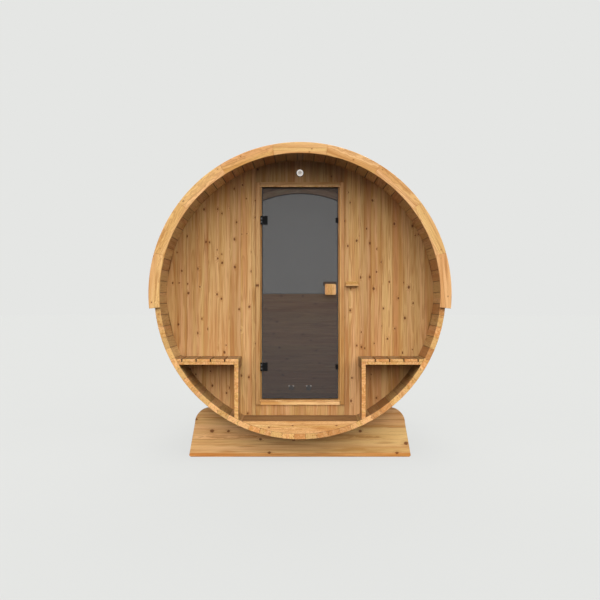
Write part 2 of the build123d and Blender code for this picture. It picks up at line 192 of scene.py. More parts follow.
def spruceGroup():
    tree = bpy.data.node_groups.new("spruceGrain", "ShaderNodeTree")
    groupSockets(tree, {**dict.fromkeys(spruceColours, "Color"), **dict.fromkeys(usualGrain, "Float")})
    groupSockets(tree, {"Color": "Color", "Roughness": "Float", "Height": "Float"}, "OUTPUT")
    do = NodeMaker(tree)
    come = tree.nodes.new("NodeGroupInput").outputs
    look = grainLook
    grain = do.attribute("grain", "Vector")
    board, cut, seam = [do.attribute(name) for name in ("board", "cut", "seam")]

    def chance(factor):  # another random number for the same board
        return do.calc("FRACT", do.times(board, factor))

    def chosen(factor, least, more):
        return do.timesPlus(chance(factor), more, least)

    def grainNoise(vector, name):
        *often, detail = grainNoises[name]
        return do.stretched(vector, often, detail)

    across, through, along = do.parts(grain)
    moved = do.vectorCalc("ADD", grain, do.joined(chance(31.7), chance(17.9), do.times(board, 53.0)))
    # knots: one in some of the cells laid over the face
    wide, long = look["cell"]
    cellX = do.plus(do.calc("DIVIDE", across, wide), do.times(chance(3.3), 77.0))
    cellY = do.plus(do.calc("DIVIDE", along, long), do.times(board, 59.0))
    inputs = {"Vector": do.joined(cellX, cellY, 0.0), "Scale": 1.0}
    grid = do.put("ShaderNodeTexVoronoi", inputs, voronoi_dimensions="2D", feature="F1").outputs
    centreX, centreY = do.parts(grid["Position"])[:2]
    draw, size = do.put("ShaderNodeSeparateColor", {0: grid["Color"]}).outputs[:2]
    offX = do.times(do.minus(centreX, cellX), wide)
    offY = do.times(do.minus(centreY, cellY), long * look["knotLength"])
    ragged = do.minus(grainNoise(moved, "ragged"), 0.5)
    away = do.plus(do.length(offX, offY), do.times(ragged, look["knotRagged"]))
    there = do.times(do.calc("LESS_THAN", draw, come["knots"]), come["knotSize"])
    least, more = look["knotRadius"]
    radius = do.times(there, do.timesPlus(size, more, least))
    knot, core, halo = [
        do.ramp(away, do.times(radius, starts), do.times(radius, full))
        for starts, full in (look["knot"], look["core"], look["halo"])
    ]
    # growth rings round a pith behind the face
    pithX = chosen(7.31, *look["pithAcross"])
    pithY = chosen(13.7, *look["pithBehind"])
    ring = do.length(do.minus(across, pithX), do.minus(through, pithY))
    wander = grainNoise(moved, "wander")
    ripple = grainNoise(moved, "ripple")
    for source, amount in ((wander, "wander"), (ripple, "ripple"), (halo, "roundKnots")):
        ring = do.plus(ring, do.times(source, look[amount]))
    fineness = do.calc("DIVIDE", 1.0, come["breadth"])
    fineAt = do.scaled(moved, fineness)
    curl = do.times(grainNoise(fineAt, "curl"), come["curl"])
    ring = do.timesPlus(curl, look["curl"], ring)
    turn = do.calc("FRACT", do.calc("DIVIDE", ring, chosen(5.1, *look["ringPitch"])))
    comes, goes = look["late"]
    late = do.times(do.times(do.ramp(turn, *comes), do.ramp(turn, *goes)), come["rings"])
    # wide streaks of slow and fast years, resin streaks, and the patches that cut ends show
    often, lengthwise = look["years"]
    yearsAt = do.timesPlus(ring, do.times(fineness, often), do.times(board, 37.0))
    years = do.noise(do.joined(yearsAt, do.times(along, lengthwise), board), 3.5)
    streak = do.ramp(years, *look["streak"])
    often, lengthwise = look["bands"]
    bandAt = do.times(do.timesPlus(wander, look["bandWander"], across), do.times(fineness, often))
    bandAt = do.plus(bandAt, do.times(board, 91.0))
    band = do.noise(do.joined(bandAt, do.times(along, lengthwise), board), 2.5)
    resin = do.ramp(band, *look["resin"])
    flame = do.ramp(grainNoise(fineAt, "flame"), *look["flame"])
    patch = do.ramp(grainNoise(moved, "patch"), *look["patch"])
    patch = do.times(do.minus(patch, 0.45), cut)
    fibre = grainNoise(moved, "fibre")
    tone = do.times(do.minus(chance(1.7), 0.5), come["spread"])
    warmth = do.plus(do.times(streak, look["streakWarms"]), do.plus(tone, look["usualWarmth"]))
    for source, amount in ((resin, "resinWarms"), (patch, "cutWarms")):
        warmth = do.plus(warmth, do.times(source, look[amount]))
    warmth = do.put("ShaderNodeClamp", {0: warmth}).outputs[0]
    colour = do.blend(warmth, come["pale"], come["warm"])
    # some boards lean to green and some to pink
    often, lengthwise = look["hues"]
    hueAt = do.joined(do.times(bandAt, often), do.times(along, lengthwise), 9.0)
    hue = do.ramp(do.plus(do.noise(hueAt, 1.0), do.times(tone, 0.25)), *look["hue"])
    colour = do.blend(1.0, colour, do.blend(hue, look["green"], look["pink"]), "MULTIPLY")
    for source, amount in ((late, "lateDarkens"), (flame, "flameDarkens"), (halo, "haloDarkens")):
        colour = do.blend(do.times(source, look[amount]), colour, come["late"])
    for share, tint in ((cut, "cutTint"), (seam, "seamAndShadeTint")):
        colour = do.blend(share, colour, do.blend(1.0, colour, look[tint], "MULTIPLY"))
    # brightness: from board to board, from fibre to fibre, painted shade on the boards' long faces against
    # their cut ends, and in the seams, whose value also holds painted shade
    boardShade = do.times(come["spread"], look["boardContrast"])
    bright = do.timesPlus(do.minus(chance(11.3), 0.5), boardShade, 1.0)
    contrast = look["fibreContrast"]
    bright = do.times(bright, do.timesPlus(fibre, contrast, 1.0 - contrast / 2))
    # painted shade: the long faces are drawn darker than the cut ends by the sides share
    sides = do.plus(cut, do.times(do.minus(1.0, cut), come["sides"]))
    bright = do.times(do.times(bright, sides), do.timesPlus(seam, -look["seamAndShadeDarkens"], 1.0))
    colour = do.scaled(colour, bright)
    outerKnot = do.blend(0.30, come["knot"], come["late"])
    heart = do.blend(do.times(core, 0.75), outerKnot, come["knot"])
    knot = do.times(knot, do.timesPlus(cut, -0.8, 0.92))  # a knot hardly shows on a cut end
    colour = do.blend(knot, colour, heart)
    relief = look["relief"]
    height = do.plus(do.times(late, relief["late"]), do.times(fibre, relief["fibre"]))
    height = do.timesPlus(knot, relief["knot"], height)
    plain, fibreAdds, knotAdds = look["roughness"]
    roughness = do.timesPlus(knot, knotAdds, do.timesPlus(fibre, fibreAdds, plain))
    do.put("NodeGroupOutput", {"Color": colour, "Roughness": roughness, "Height": height})
    return tree


def newMaterial(name, **sockets):
    material = bpy.data.materials.new(name)
    material.use_nodes = True
    shader = material.node_tree.nodes["Principled BSDF"]
    for key, value in sockets.items():
        fill(shader.inputs[key], value)
    return material, NodeMaker(material.node_tree), shader


def dress(do, shader, colour, roughness, height=None, strength=0.3, distance=0.0002):
    # Feeds the shader a surface's colour, its roughness and, where it has one, its fine relief
    sources = {"Base Color": colour, "Roughness": roughness}
    if height is not None:
        inputs = {"Height": height, "Strength": strength, "Distance": distance}
        sources["Normal"] = do.put("ShaderNodeBump", inputs).outputs[0]
    for target, source in sources.items():
        do.tree.links.new(source, shader.inputs[target])


spruceTree = spruceGroup()


def spruce(name, shade=1.0, tint=(1.0, 1.0, 1.0), **own):
    material, do, shader = newMaterial(name, **{"Specular IOR Level": 0.3})
    grain = do.put("ShaderNodeGroup", node_tree=spruceTree)
    for key, value in spruceColours.items():
        fill(grain.inputs[key], [part * shade * lean for part, lean in zip(value, tint)])
    for key, value in {**usualGrain, **own}.items():
        fill(grain.inputs[key], value)
    made = grain.outputs
    dress(do, shader, made["Color"], made["Roughness"], made["Height"], 0.35, 0.0006)
    return material


def brushedSteel(name):
    steel = {
        "dark": (0.46, 0.46, 0.45), "light": (0.62, 0.62, 0.61), "dull": (0.42, 0.41, 0.39),
        "roundabout": 6.0, "crosswise": 1400.0, "patches": 9.0, "roughness": 0.24,
    }
    material, do, shader = newMaterial(name, Metallic=1.0)
    x, y, z = do.parts(do.place())
    turn = do.calc("ARCTAN2", x, do.minus(z, axisHeight))
    lines = do.joined(do.times(turn, steel["roundabout"]), do.times(y, steel["crosswise"]), 0.0)
    lines = do.noise(lines, 3.0)
    patches = do.noise(do.place(), 3.0, steel["patches"])
    colour = do.blend(lines, steel["dark"], steel["light"])
    colour = do.blend(do.times(patches, 0.4), colour, steel["dull"])
    rough = do.plus(do.timesPlus(lines, 0.16, steel["roughness"]), do.times(patches, 0.12))
    dress(do, shader, colour, rough, lines, 0.2, 0.0003)
    return material


def speckled(name, dark, light, scale, rough, bumpHeight=0.0002, **sockets):
    # A moulded or painted finish: two close colours, uneven gloss and a fine pebbled surface
    material, do, shader = newMaterial(name, **sockets)
    fine = do.noise(do.place(), 2.0, scale)
    broad = do.noise(do.place(), 3.0, scale / 30)
    colour = do.blend(broad, dark, light)
    gloss = do.plus(do.timesPlus(fine, 0.12, rough - 0.1), do.times(broad, 0.08))
    dress(do, shader, colour, gloss, fine, distance=bumpHeight)
    return material


def tintedGlass(name, alpha, body):
    material, do, shader = newMaterial(name, Alpha=alpha)
    smears = do.stretched(do.place(), (7.0, 7.0, 2.5), 4.0)
    colour = do.blend(smears, body, [part * 1.12 for part in body])
    dress(do, shader, colour, do.timesPlus(smears, 0.07, 0.03))
    return material


endWall = dict(tint=(1.0, 0.985, 0.95), breadth=1.2)
joinery = dict(knots=0.5, spread=0.3, rings=1.0)
ochre = (1.0, 0.98, 0.94)
timberLooks = {
    "wall": dict(shade=0.79, knots=0.85, **endWall),
    # the boards over the door: drawn darker, a painted shade under the crown
    "wallHead": dict(shade=0.57, knots=0.35, knotSize=0.8, **endWall),
    "backWall": dict(shade=0.72),
    "fascia": dict(
        shade=1.03, tint=(1.0, 1.0, 0.95), knots=0.95, spread=0.3, curl=0.8, rings=1.1, knotSize=0.55,
        breadth=1.9,
    ),
    # stave and crown: long faces drawn darker than the cut ends, a painted shade
    "stave": dict(knots=0.7, spread=1.5, curl=0.3, sides=0.72, knotSize=0.8),
    "crown": dict(tint=(1.0, 1.0, 1.02), knots=0.6, spread=1.5, curl=0.3, sides=0.90, knotSize=0.8),
    "roof": dict(shade=0.95, knots=0.5),
    "frame": dict(shade=0.80, tint=ochre, **joinery),
    # the left stile and the bead's left side: drawn darker than the frame, a painted shade
    "shadedStile": dict(shade=0.72, tint=ochre, **joinery),
    # the arch's side towards the room: greyed, a painted haze
    "archInsideHaze": dict(shade=0.75, tint=(1.0, 1.25, 1.9), **joinery),
    # the door head: drawn darker than the frame, a painted shade under the crown
    "lintel": dict(shade=0.65, **joinery),
    "threshold": dict(shade=1.20, tint=(1.0, 1.04, 1.12), knots=0.4, spread=0.2, curl=0.3),
    # bead: drawn lighter than the frame, a painted highlight along the opening
    "bead": dict(shade=0.98, knots=0.0, spread=0.2),
    # bench: tops and sides drawn far darker than the cut ends, a painted shade
    "bench": dict(shade=1.03, knots=0.3, spread=0.5, curl=0.8, sides=0.38),
    # floor: drawn dark, a painted shade on the tops, which take less light
    "floor": dict(shade=0.36, tint=(1.08, 0.94, 0.90), knots=0.4, spread=1.5, rings=1.2),
    "kick": dict(shade=1.12, knots=0.35, spread=0.0, curl=1.2, rings=1.3, knotSize=0.7),
    "cradle": dict(
        shade=1.04, tint=(0.98, 1.0, 0.97), knots=0.5, spread=0.0, curl=0.45, rings=1.1, knotSize=1.5,
        breadth=1.9,
    ),
    "sole": dict(tint=(1.0, 0.83, 0.55), knots=0.3, spread=0.0, curl=0.4, rings=1.2, breadth=1.6),
    "block": dict(shade=0.96, tint=(1.0, 1.04, 1.12), knots=0.0, spread=0.2, curl=1.3, rings=1.6),
    # the peg's upper part: drawn darker, a painted shade
    "pegFace": dict(shade=0.82, tint=(0.94, 1.04, 0.98), knots=0.0, spread=0.2, curl=2.2, rings=2.0),
    # dark: painted shade on the inner handle, and the painted shadow in the threshold's gap
    "innerBar": dict(shade=0.32, knots=0.0, spread=0.2, curl=0.5),
}
# other finishes: name, dark and light colour, grain per metre, roughness, height of the relief
otherLooks = {
    "black": ("blackPaint", (0.004, 0.0042, 0.0045), (0.007, 0.0072, 0.0075), 2600.0, 0.42),
    "white": ("lampWhite", (0.80, 0.80, 0.79), (0.86, 0.86, 0.85), 900.0, 0.25, 0.00005),
    "lens": ("lampLens", (0.50, 0.49, 0.47), (0.58, 0.57, 0.55), 500.0, 0.5),
    "rubber": ("sealRubber", (0.012, 0.013, 0.016), (0.022, 0.024, 0.028), 1500.0, 0.7),
    "brownSealShadow": ("brownSealShadow", (0.030, 0.017, 0.008), (0.050, 0.030, 0.015), 1500.0, 0.7),
    "vent": ("ventPlastic", (0.17, 0.175, 0.155), (0.23, 0.235, 0.21), 1200.0, 0.5),
    "ventScrewGlint": ("ventScrewGlint", (0.80, 0.75, 0.68), (0.90, 0.85, 0.78), 900.0, 0.35),
    "pin": ("hingePin", (0.13, 0.13, 0.13), (0.2, 0.2, 0.2), 1500.0, 0.35),
    "screw": ("zincScrew", (0.42, 0.41, 0.37), (0.56, 0.55, 0.50), 700.0, 0.35),
    "glassEdge": ("glassEdge", (0.03, 0.04, 0.05), (0.05, 0.065, 0.075), 300.0, 0.3),
}
# the porch lamp is on and its lens glows a little; its white rim glows too, a painted light, and the vents'
# screws glow as painted glints, so that they show through the tinted glass
extras = {
    # painted light: the lamp's white rim glows, though it is not the part that gives light
    "white": {"Emission Color": (1.0, 0.94, 0.88), "Emission Strength": 0.50},
    "lens": {"Emission Color": (1.0, 0.92, 0.82), "Emission Strength": 0.24},
    # painted glints: the vent screws glow
    "ventScrewGlint": {"Emission Color": (1.0, 0.93, 0.85), "Emission Strength": 0.50},
    "black": {"Specular IOR Level": 0.12}, "pin": {"Metallic": 0.6}, "screw": {"Metallic": 1.0},
}
finishes = {key: spruce(key + "Spruce", **look) for key, look in timberLooks.items()}
for key, look in otherLooks.items():
    finishes[key] = speckled(*look, **extras.get(key, {}))
finishes["steel"] = brushedSteel("hoopSteel")
finishes["glass"] = tintedGlass("doorGlass", 0.48, (0.055, 0.052, 0.052))
finishes["window"] = tintedGlass("windowGlass", 0.41, (0.03, 0.03, 0.03))
# the rim round the panes: a painted shadow line
finishes["glassRimShadow"] = tintedGlass("glassRimShadow", 0.86, (0.036, 0.038, 0.038))
print("materials made:", len(finishes))


def addObject(name, data):
    made = bpy.data.objects.new(name, data)
    bpy.context.scene.collection.objects.link(made)
    return made


# Every finished piece goes through here
def settle(name, mesh, body, materials=(), replaced=()):
    piece = addObject(name, mesh)
    for finish in materials:
        mesh.materials.append(finishes[finish])
    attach(piece, body)
    if replaced:
        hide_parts(*replaced)


def mergedCopy(node, near=0.00002, flat=0.4):
    # A CAD mesh is loose triangles, so its copy is merged and its flat faces are made whole
    work = bmesh.new()
    work.from_mesh(frame["nodes"][node].data)
    bmesh.ops.remove_doubles(work, verts=work.verts, dist=near)
    bmesh.ops.dissolve_limit(work, angle_limit=math.radians(flat), verts=work.verts, edges=work.edges)
    return work


def toMesh(work, name):
    mesh = bpy.data.meshes.new(name)
    work.to_mesh(mesh)
    work.free()
    return mesh


def easeEdges(work, width, segments=2, least=28.0):
    # Rounds every sharp edge a little, and marks the new faces as the seam
    seamAndShadeLayer = work.faces.layers.float.new("seam")
    corners = [
        edge for edge in work.edges
        if len(edge.link_faces) == 2 and edge.calc_face_angle() > math.radians(least)
    ]
    rounded = bmesh.ops.bevel(
        work, geom=corners, offset=width, offset_type="OFFSET", affect="EDGES",
        segments=segments, profile=0.5, clamp_overlap=True,
    )
    for face in rounded["faces"]:
        face[seamAndShadeLayer] = 1.0


def paint(work, test):
    # Gives the second finish to the faces that pass a test, and the first one to the others
    for face in work.faces:
        face.material_index = 1 if test(face) else 0


def cutLevel(work, height):
    # Cuts the faces at a height, so that a finish can end there
    bmesh.ops.bisect_plane(
        work, geom=work.verts[:] + work.edges[:] + work.faces[:], dist=0.00001,
        plane_co=(0, 0, height), plane_no=(0, 0, 1),
    )


def islands(work):
    # The separate boards of a mesh, each as a list of its points
    left = set(work.verts)
    found = []
    for start in work.verts:
        if start not in left:
            continue
        left.discard(start)
        group, todo = [start], [start]
        while todo:
            for edge in todo.pop().link_edges:
                for vert in edge.verts:
                    if vert in left:
                        left.discard(vert)
                        group.append(vert)
                        todo.append(vert)
        found.append(group)
    return found


def centreOf(group):
    return sum((vert.co for vert in group), Vector()) / len(group)


def roundabout(spot):
    # Which way is outwards and which way is round the barrel, at a place
    turn = math.atan2(spot.x, spot.z - axisHeight)
    return Vector((math.sin(turn), 0, math.cos(turn))), Vector((math.cos(turn), 0, -math.sin(turn)))


def markGrain(work, grainWay, dice, endOn=0.6):
    # Writes each board's own coordinates: across, into the face, and with the grain; cut marks its sawn ends
    grainLayer = work.verts.layers.float_vector.new("grain")
    boardLayer = work.verts.layers.float.new("board")
    cutLayer = work.faces.layers.float.new("cut")
    way = {"stave": "y", "ring": "x"}.get(grainWay, grainWay)
    for group in islands(work):
        axes = {"x": Vector((1, 0, 0)), "y": Vector((0, 1, 0)), "z": Vector((0, 0, 1))}
        if grainWay in ("stave", "ring"):
            axes["z"], axes["x"] = roundabout(centreOf(group))
        spans = {}
        for key, axis in axes.items():
            reach = [vert.co.dot(axis) for vert in group]
            spans[key] = (min(reach), max(reach))
        others = (key for key in axes if key != way)
        thin, wide = sorted(others, key=lambda key: spans[key][1] - spans[key][0])
        centre = sum(spans[wide]) / 2
        chosen = dice.random()
        for vert in group:
            vert[grainLayer] = (
                vert.co.dot(axes[wide]) - centre,
                vert.co.dot(axes[thin]) - spans[thin][0],
                vert.co.dot(axes[way]),
            )
            vert[boardLayer] = chosen
            for face in vert.link_faces:
                face[cutLayer] = 1.0 if abs(face.normal.dot(axes[way])) > endOn else 0.0


# What a user would change about the plain boards: how the grain runs, the finish, the eased edge and
# how dark the seams are. Twins share a line
timberPieces = {
    "bottom_staves": ("stave", "stave", 0.0021, 0.85),
    "left_staves right_staves": ("stave", "stave", 0.0023, 0.9),
    "top_staves": ("stave", "crown", 0.0032, 1.25),
    "roof_ribs": ("ring", "roof", 0.0010, 0.1),
    "roof_boards": ("stave", "roof", 0.0030, 0.7),
    "front_fascia rear_fascia": ("ring", "fascia", 0.0025, 0.0),
    "door_stile_left": ("z", "shadedStile", 0.0015, 0.3),
    "door_stile_right": ("z", "frame", 0.0015, 0.3),
    "door_head": ("x", "lintel", 0.0015, 0.3),
    "door_threshold": ("x", "threshold", 0.0015, 0.3),
    "back_window_arch": ("ring", "frame", 0.0015, 0.2),
    "porch_floor": ("x", "floor", 0.0025, 0.9),
    "kick_board": ("x", "kick", 0.0015, 0.2),
    "porch_bearers room_bearers": ("y", "floor", 0.0015, 0.0),
    "left_bench_slats right_bench_slats": ("y", "bench", 0.0025, 0.0),
    "left_bench_frame right_bench_frame": ("y", "bench", 0.0015, 0.1),
    "front_cradle rear_cradle": ("x", "cradle", 0.0030, 0.2),
    "wall_peg": ("x", "block", 0.0020, 0.0),
    "outer_handle": ("z", "block", 0.0030, 0.0),
    "inner_handle": ("x", "innerBar", 0.0040, 0.0),
}
cradleSole = 0.029  # height of the darker band along the foot of each cradle
# painted shade on the staves' inner faces: how dark it is at the crown, how many degrees that reaches,
# and how dark it is lower than the benches, outwards from a little way under the porch floor's edge
shades = {"crown": 0.75, "crownReach": 33.0, "low": 0.50, "underFloor": 0.04}
# the door frame's members: width round the door's opening, and the part in front of the rebate that the
# door shuts against
doorFrame = {"wide": 0.035, "rebate": 0.0355}


def inShade(node, face):
    # How much darker the staves' inner faces are where little light reaches them
    middle = face.calc_center_median()
    outward = roundabout(middle)[0]
    if "staves" not in node or face.normal.dot(outward) > -0.5:
        return 0.0
    lean = math.degrees(math.atan2(abs(middle.x), middle.z - axisHeight))
    if lean < shades["crownReach"]:
        return shades["crown"] * (1.0 - (lean / shades["crownReach"]) ** 2)
    besideFloor = middle.z < benchLow and abs(middle.x) > floorHalf - shades["underFloor"]
    return shades["low"] if besideFloor else 0.0


def seamShade(face, grainWay, dark, upright=0.3, frontEdge=0.004):
    # Seams are dark, but not on the ends of staves and not along the front of a level board
    onEnd = grainWay == "stave" and abs(face.normal.y) > upright
    inFront = grainWay == "x" and face.calc_center_median().y < staveFront + frontEdge
    return 0.0 if onEnd or inFront else dark


def paintTimber(work, node, finish):
    # Says which finishes a piece has, and puts a second one, where it has one, on its own faces
    if finish == "floor":  # darker on top than on the front edges: painted shade, as the tops take less light
        paint(work, lambda face: abs(face.normal.z) <= 0.5)
        return ["floor", "kick"]
    if node == "back_window_arch":  # greyer on the side towards the room: a painted haze over the wood where it is seen through the door glass
        paint(work, lambda face: face.normal.y < -0.5)
        return ["frame", "archInsideHaze"]
    if finish == "threshold":  # dark on the part above the rebate: a painted shadow in the gap under the glass
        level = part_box(node)[0].z + doorFrame["rebate"]
        paint(work, lambda face: face.calc_center_median().z > level)
        return ["threshold", "innerBar"]
    if finish == "cradle":
        cutLevel(work, cradleSole)
        paint(work, lambda face: face.calc_center_median().z < cradleSole)
        return ["cradle", "sole"]
    if node == "wall_peg":  # darker above than along its lip: painted shade, as if it were hollowed there
        level = sum(corner.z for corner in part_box(node)) / 2
        cutLevel(work, level)
        paint(work, lambda face: face.calc_center_median().z > level)
        return ["block", "pegFace"]
    return [finish]


def pieceName(node):
    # front_cradle becomes frontCradle
    first, *others = node.split("_")
    return first + "".join(word.title() for word in others)


def makeTimber():
    dice = random.Random(41)
    doorNodes = frame["record"]["behaviour"]["bodies"]["door"]
    for nodes, (grainWay, finish, edge, dark) in timberPieces.items():
        for node in nodes.split():
            work = mergedCopy(node)
            easeEdges(work, edge)
            markGrain(work, grainWay, dice)
            seamAndShadeLayer = work.faces.layers.float["seam"]
            for face in work.faces:
                seam = face[seamAndShadeLayer] * seamShade(face, grainWay, dark)
                # the seam value also carries the painted shade of the barrel's inside
                face[seamAndShadeLayer] = max(seam, inShade(node, face))
            looks = paintTimber(work, node, finish)
            name = "windowArch" if node == "back_window_arch" else pieceName(node)
            body = "door" if node in doorNodes else "hut"
            settle(name, toMesh(work, name), body, looks, [node])


makeTimber()
print("timber dressed")


# A geometry nodes tree is grown once on an empty mesh, along a path, or on points that face somewhere,
# and is kept as a plain mesh
def grow(name, tree, values, points=None, facings=None):
    seed = bpy.data.meshes.new(name)
    if facings:
        seed.from_pydata(points, [], [])
        layer = seed.attributes.new("facing", "FLOAT_VECTOR", "POINT")
        layer.data.foreach_set("vector", [part for facing in facings for part in facing])
    elif points:
        seed.from_pydata(points, [(step, step + 1) for step in range(len(points) - 1)], [])
    holder = addObject(name + "Holder", seed)
    modifier = holder.modifiers.new("build", "NODES")
    modifier.node_group = tree
    for item in tree.interface.items_tree:
        if item.item_type == "SOCKET" and item.in_out == "INPUT" and item.name in values:
            modifier[item.identifier] = values[item.name]
    bpy.context.view_layer.update()
    graph = bpy.context.evaluated_depsgraph_get()
    mesh = bpy.data.meshes.new_from_object(holder.evaluated_get(graph))
    bpy.data.objects.remove(holder)
    mesh.name = name
    return mesh


def newTree(name, kinds):
    tree = bpy.data.node_groups.new(name, "GeometryNodeTree")
    for direction in ("INPUT", "OUTPUT"):
        groupSockets(tree, {"Geometry": "Geometry"}, direction)
    groupSockets(tree, {**kinds, "Finish": "Material"})
    return NodeMaker(tree), tree.nodes.new("NodeGroupInput").outputs


def endTree(do, geometry, finish):
    geometry = do.geo("RealizeInstances", {"Geometry": geometry})
    geometry = do.geo("SetMaterial", {"Geometry": geometry, "Material": finish})
    do.put("NodeGroupOutput", {0: geometry})
    return do.tree


def boardTree(least=0.004, shortest=0.002):
    # Boards side by side, each cut to the round of the barrel at its two ends. Slivers are left out
    sizes = ("Pitch", "First Joint", "Left", "Right", "Front", "Back", "Bevel", "Gap", "Radius")
    sizes += ("Lowest", "Highest", "Depth Centre")
    kinds = {"Count": "Int", "Seed": "Int", "Ends By Depth": "Bool", "Turn": "Rotation", "Place": "Vector"}
    do, come = newTree("roundEndedBoards", {**kinds, **dict.fromkeys(sizes, "Float")})
    # four rows of points across: the outer two make the sides, the inner two the edges of the bevels
    cube = do.geo("MeshCube", {"Vertices X": 4, "Vertices Y": 2, "Vertices Z": 2})
    cube = do.store(cube, "corner", do.geo("InputPosition"))
    spots = do.geo("Points", {"Count": come["Count"]})
    boards = do.geo("InstanceOnPoints", {"Points": spots, "Instance": cube})
    boards = do.store(boards, "number", do.geo("InputIndex"), "INT", "INSTANCE")
    boards = do.geo("RealizeInstances", {"Geometry": boards})
    number = do.named("number", "INT")
    sideX, sideY, sideZ = do.parts(do.named("corner"))
    joint = do.timesPlus(number, come["Pitch"], come["First Joint"])
    halfGap = do.times(come["Gap"], 0.5)
    start = do.plus(do.calc("MAXIMUM", joint, come["Left"]), halfGap)
    end = do.minus(do.calc("MINIMUM", do.plus(joint, come["Pitch"]), come["Right"]), halfGap)
    onRight = do.calc("GREATER_THAN", sideX, 0.0)
    onEdge = do.calc("GREATER_THAN", do.calc("ABSOLUTE", sideX), 0.3)
    onFront = do.calc("LESS_THAN", sideY, 0.0)
    isTop = do.calc("GREATER_THAN", sideZ, 0.0)
    inward = do.times(do.minus(1.0, onEdge), come["Bevel"])
    across = do.choose(onRight, do.plus(start, inward), do.minus(end, inward))
    sunk = do.times(do.times(onEdge, onFront), come["Bevel"])
    through = do.plus(do.choose(onFront, come["Back"], come["Front"]), sunk)
    offset = do.choose(come["Ends By Depth"], across, do.minus(through, come["Depth Centre"]))
    square = do.minus(do.times(come["Radius"], come["Radius"]), do.times(offset, offset))
    chord = do.calc("SQRT", do.calc("MAXIMUM", square, 0.0))
    low = do.calc("MAXIMUM", do.times(chord, -1.0), come["Lowest"])
    high = do.calc("MINIMUM", chord, come["Highest"])
    along = do.choose(isTop, low, high)
    boards = do.geo("SetPosition", {"Geometry": boards, "Position": do.joined(across, through, along)})
    narrow = do.calc("LESS_THAN", do.minus(end, start), least)
    gone = do.calc("MAXIMUM", narrow, do.calc("LESS_THAN", do.minus(high, low), shortest))
    boards = do.geo("DeleteGeometry", {"Geometry": boards, "Selection": gone}, domain="POINT")
    middle = do.times(do.plus(start, end), 0.5)
    own = do.joined(do.minus(across, middle), do.minus(through, come["Front"]), along)
    boards = do.store(boards, "grain", own)
    luck = do.put("FunctionNodeRandomValue", {"ID": number, "Seed": come["Seed"]}, data_type="FLOAT")
    boards = do.store(boards, "board", luck.outputs[1], "FLOAT")
    for spare in ("corner", "number"):
        boards = do.geo("RemoveAttribute", {"Geometry": boards, "Name": spare})
    moved = {"Geometry": boards, "Translation": come["Place"], "Rotation": come["Turn"]}
    return endTree(do, do.geo("Transform", moved), come["Finish"])


roundBoards = boardTree()
wallBoards = {"Pitch": 0.081, "Bevel": 0.0012, "Gap": 0.0002}
firstJoint = 0.0426  # of the upright boards, from the barrel's middle
noLimit = 9.0  # further up or down than any board reaches


def layBoards(name, node, finish, values):
    usual = {"Lowest": -noLimit, "Highest": noLimit, "Finish": finishes[finish]}
    mesh = grow(name, roundBoards, {**usual, **values})
    settle(name, mesh, "hut", (), [node])


def makeWalls():
    pitch = wallBoards["Pitch"]
    steps = math.ceil((wallRadius + firstJoint) / pitch) + 1
    upright = {"Count": 2 * steps + 1, "First Joint": firstJoint - steps * pitch}
    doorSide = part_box("front_wall_left")[1].x
    frameHalf = -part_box("door_stile_left")[0].x
    overDoor = {"Lowest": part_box("front_wall_head")[0].z - axisHeight}
    underDoor = {"Highest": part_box("front_wall_sill")[1].z - axisHeight}
    top = lowWall[1].z - axisHeight
    steps = math.ceil((wallRadius + top) / pitch)
    level = {"Count": steps + 1, "First Joint": top - steps * pitch, "Turn": (0.0, math.radians(-90), 0.0)}
    for node, finish, left, right, seed, own in (
        ("front_wall_left", "wall", -wallRadius, doorSide, 3, upright),
        ("front_wall_right", "wall", -doorSide, wallRadius, 8, upright),
        # the boards over the door take the darker finish: painted shade under the crown
        ("front_wall_head", "wallHead", -frameHalf, frameHalf, 5, {**upright, **overDoor}),
        ("front_wall_sill", "wall", -frameHalf, frameHalf, 6, {**upright, **underDoor}),
        ("back_wall_lower", "backWall", -wallRadius, top, 12, level),
    ):
        low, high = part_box(node)
        name = "backWall" if node == "back_wall_lower" else pieceName(node)
        layBoards(name, node, finish, {
            **wallBoards, "Seed": seed, "Left": left, "Right": right, "Front": low.y, "Back": high.y,
            "Radius": wallRadius, "Place": (0.0, 0.0, axisHeight), **own,
        })


makeWalls()
print("wall boards made")


def makeFloor():
    boards = {"count": 13, "bevel": 0.0018, "gap": 0.0006}
    low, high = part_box("room_floor")
    # the boards lie face up: across runs to the back, into the face runs down
    onSide = Matrix(((0, 0, 1), (1, 0, 0), (0, -1, 0))).to_euler()
    layBoards("roomFloor", "room_floor", "floor", {
        "Count": boards["count"], "Seed": 21, "Pitch": (high.y - low.y) / boards["count"],
        "First Joint": low.y, "Left": low.y, "Right": high.y, "Front": -high.z, "Back": -low.z,
        "Bevel": boards["bevel"], "Gap": boards["gap"], "Radius": math.hypot(high.x, high.z - axisHeight),
        "Ends By Depth": True, "Depth Centre": -axisHeight, "Turn": tuple(onSide),
    })


makeFloor()
print("room floor made")


